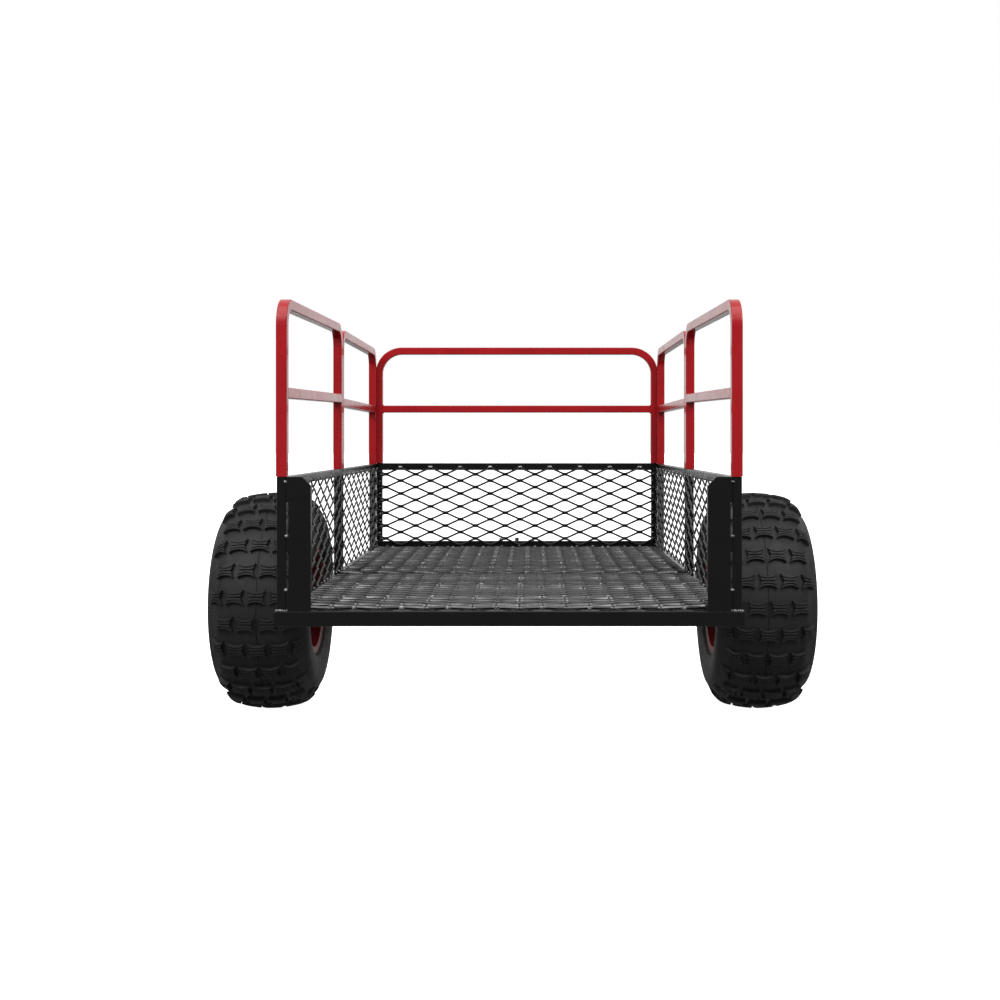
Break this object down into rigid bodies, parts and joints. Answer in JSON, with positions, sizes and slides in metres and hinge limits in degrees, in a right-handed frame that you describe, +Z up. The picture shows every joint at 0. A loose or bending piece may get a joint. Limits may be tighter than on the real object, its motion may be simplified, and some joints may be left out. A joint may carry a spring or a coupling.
{
  "type": "tow behind cart",
  "caption": "Two-wheeled tow-behind utility cart with a tipping expanded-mesh steel bed, open at the rear, and red lift-out stake rails.",
  "frame": {"origin": "on the ground, at the centre of the cart's bounding box seen from above", "axes": "+Y is the tow direction, +X is the cart's right-hand side looking forward, +Z is up"},
  "size_m": [1.2022, 1.956, 0.803],
  "materials": {
    "frame_black": "semi-gloss black powder coat",
    "mesh_black": "gloss black paint on expanded steel mesh",
    "red_rail": "gloss red powder coat",
    "red_wheel": "gloss red paint",
    "tyre": "moulded black rubber with knobby tread",
    "zinc_steel": "zinc-plated hardware",
    "bearing_steel": "ground steel",
    "rubber": "soft black rubber",
    "nylon": "natural nylon",
    "cap_plastic": "black moulded cap"
  },
  "bodies": {
    "chassis": {"axle_rod": "frame_black", "axle_collars": "zinc_steel", "axle_washers": "zinc_steel", "cotter_pins": "zinc_steel", "tongue_tube": "frame_black", "tongue_sleeve": "frame_black", "brace_left": "frame_black", "brace_right": "frame_black", "hitch_clevis": "frame_black", "latch_bracket": "frame_black", "latch_pivot_pin": "zinc_steel", "chassis_bolts": "zinc_steel", "rest_pad": "rubber"},
    "bed": {"floor_mesh": "mesh_black", "front_mesh": "mesh_black", "left_mesh": "mesh_black", "right_mesh": "mesh_black", "rear_beam": "frame_black", "front_beam": "frame_black", "left_sill": "frame_black", "right_sill": "frame_black", "cross_members": "frame_black", "left_top_rail": "frame_black", "right_top_rail": "frame_black", "front_top_rail": "frame_black", "left_posts": "frame_black", "right_posts": "frame_black", "front_posts": "frame_black", "rear_plate_left": "frame_black", "rear_plate_right": "frame_black", "axle_brackets": "frame_black", "pivot_bushings": "nylon", "bracket_bolts": "zinc_steel", "latch_catch": "frame_black"},
    "latch": {"latch_lever": "frame_black", "latch_grip": "rubber"},
    "wheel_left": {"tyre_left": "tyre", "rim_left": "red_wheel", "hub_left": "frame_black", "bearings_left": "bearing_steel", "lug_nuts_left": "zinc_steel", "dust_cap_left": "cap_plastic", "valve_left": "rubber"},
    "wheel_right": {"tyre_right": "tyre", "rim_right": "red_wheel", "hub_right": "frame_black", "bearings_right": "bearing_steel", "lug_nuts_right": "zinc_steel", "dust_cap_right": "cap_plastic", "valve_right": "rubber"},
    "front_frame": {"front_rail": "red_rail", "front_crossbar": "red_rail"},
    "left_rear_frame": {"left_rear_rail": "red_rail", "left_rear_crossbar": "red_rail"},
    "left_front_frame": {"left_front_rail": "red_rail", "left_front_crossbar": "red_rail"},
    "right_rear_frame": {"right_rear_rail": "red_rail", "right_rear_crossbar": "red_rail"},
    "right_front_frame": {"right_front_rail": "red_rail", "right_front_crossbar": "red_rail"}
  },
  "joints": [
    {"name": "bed_tilt", "type": "hinge", "parent": "chassis", "child": "bed", "pos_m": [0, -0.378, 0.224], "axis": [1, 0, 0], "range_deg": [0, 24]},
    {"name": "bed_latch", "type": "hinge", "parent": "chassis", "child": "latch", "pos_m": [0, 0.32, 0.258], "axis": [1, 0, 0], "range_deg": [0, 18]},
    {"name": "wheel_left_spin", "type": "hinge", "parent": "chassis", "child": "wheel_left", "pos_m": [-0.502, -0.378, 0.224], "axis": [1, 0, 0], "continuous": true},
    {"name": "wheel_right_spin", "type": "hinge", "parent": "chassis", "child": "wheel_right", "pos_m": [0.502, -0.378, 0.224], "axis": [1, 0, 0], "continuous": true},
    {"name": "front_rail_lift", "type": "slide", "parent": "bed", "child": "front_frame", "axis": [0, 0, 1], "range_m": [0, 0.24]},
    {"name": "left_rear_rail_lift", "type": "slide", "parent": "bed", "child": "left_rear_frame", "axis": [0, 0, 1], "range_m": [0, 0.24]},
    {"name": "left_front_rail_lift", "type": "slide", "parent": "bed", "child": "left_front_frame", "axis": [0, 0, 1], "range_m": [0, 0.24]},
    {"name": "right_rear_rail_lift", "type": "slide", "parent": "bed", "child": "right_rear_frame", "axis": [0, 0, 1], "range_m": [0, 0.24]},
    {"name": "right_front_rail_lift", "type": "slide", "parent": "bed", "child": "right_front_frame", "axis": [0, 0, 1], "range_m": [0, 0.24]}
  ]
}
